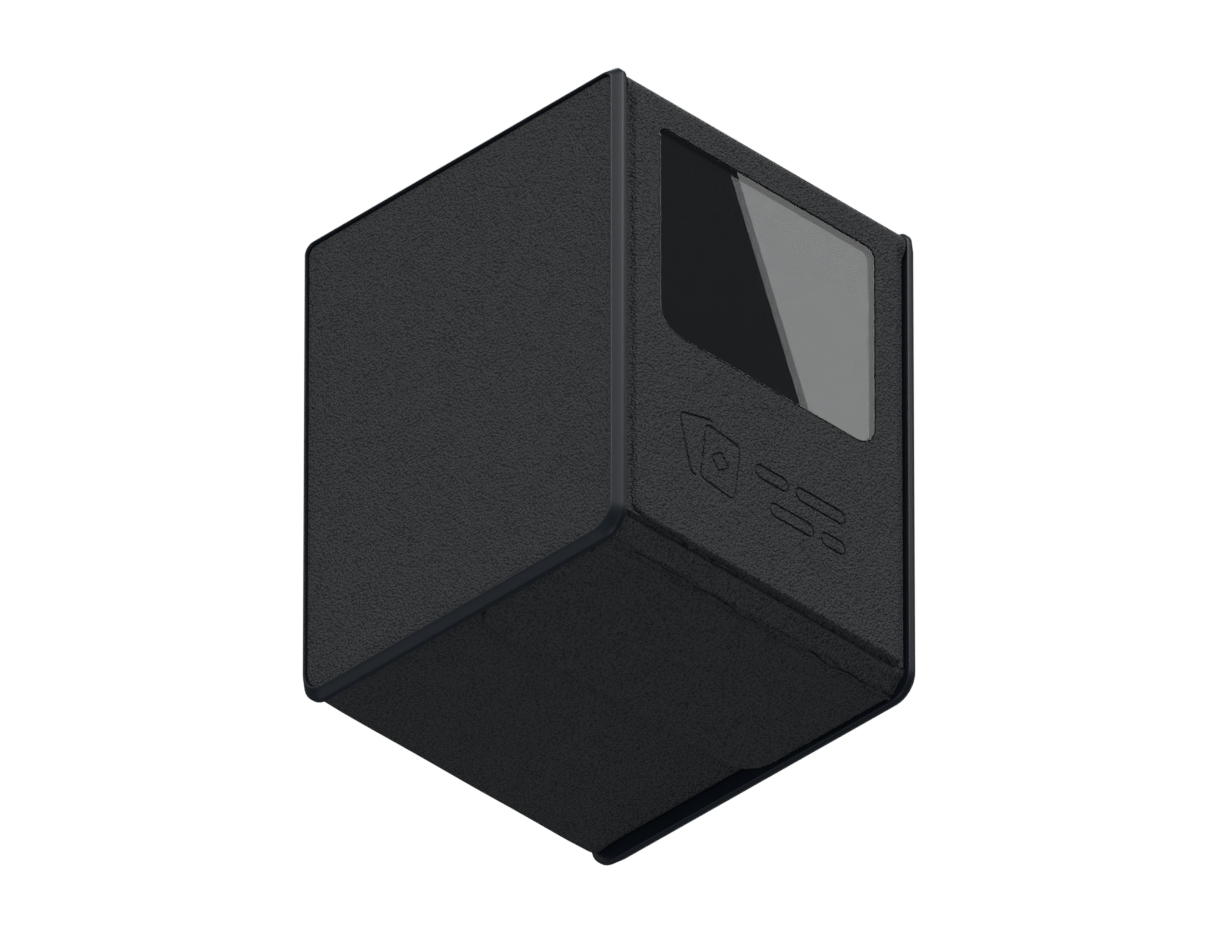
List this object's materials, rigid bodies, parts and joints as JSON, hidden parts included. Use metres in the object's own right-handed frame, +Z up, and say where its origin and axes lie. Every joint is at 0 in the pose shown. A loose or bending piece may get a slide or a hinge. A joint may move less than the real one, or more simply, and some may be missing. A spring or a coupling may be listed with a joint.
{
  "type": "card deck box",
  "caption": "Upright card deck box with moulded end plates, a lined tray, a windowed drop-front cover and a fold-up lid in leatherette.",
  "frame": {"origin": "middle of the footprint, on the plane that the end plates' lower edges stand on", "axes": "+Z up, the windowed front faces -Y, +X to the right seen from the front"},
  "size_m": [0.084, 0.088, 0.1106],
  "materials": {
    "moulded_rim": "satin moulded plastic with a fine spark texture",
    "greyboard": "plain grey paperboard",
    "leatherette": "satin leatherette with a fine streaky grain",
    "lining": "soft matte microfibre",
    "clear_pane": "clear glossy sheet",
    "magnet": "nickel-plated"
  },
  "bodies": {
    "box": {"left_end_plate": "moulded_rim", "right_end_plate": "moulded_rim", "left_inset_board": "greyboard", "right_inset_board": "greyboard", "left_inset_skin": "leatherette", "right_inset_skin": "leatherette", "left_side_board": "greyboard", "right_side_board": "greyboard", "left_side_liner": "lining", "right_side_liner": "lining", "base_board": "greyboard", "base_liner": "lining", "back_board": "greyboard", "back_liner": "lining", "front_wall_board": "greyboard", "front_wall_liner": "lining", "body_wrap": "leatherette", "base_patch_board": "greyboard", "base_patch_skin": "leatherette", "back_magnets": "magnet", "lower_spine": "leatherette"},
    "front_panel": {"front_board": "greyboard", "front_skin": "leatherette", "front_liner": "lining", "window_pane": "clear_pane", "upper_spine": "leatherette"},
    "lid": {"lid_board": "greyboard", "lid_inner_board": "greyboard", "lid_skin": "leatherette", "lid_liner": "lining", "lid_magnets": "magnet"}
  },
  "joints": [
    {"name": "front_cover_hinge", "type": "hinge", "parent": "box", "child": "front_panel", "pos_m": [0, -0.0424, 0.0017], "axis": [1, 0, 0], "range_deg": [0, 90], "deforming": ["lower_spine"]},
    {"name": "lid_hinge", "type": "hinge", "parent": "front_panel", "child": "lid", "pos_m": [0, -0.04305, 0.10965], "axis": [1, 0, 0], "range_deg": [0, 90], "deforming": ["upper_spine"]}
  ]
}
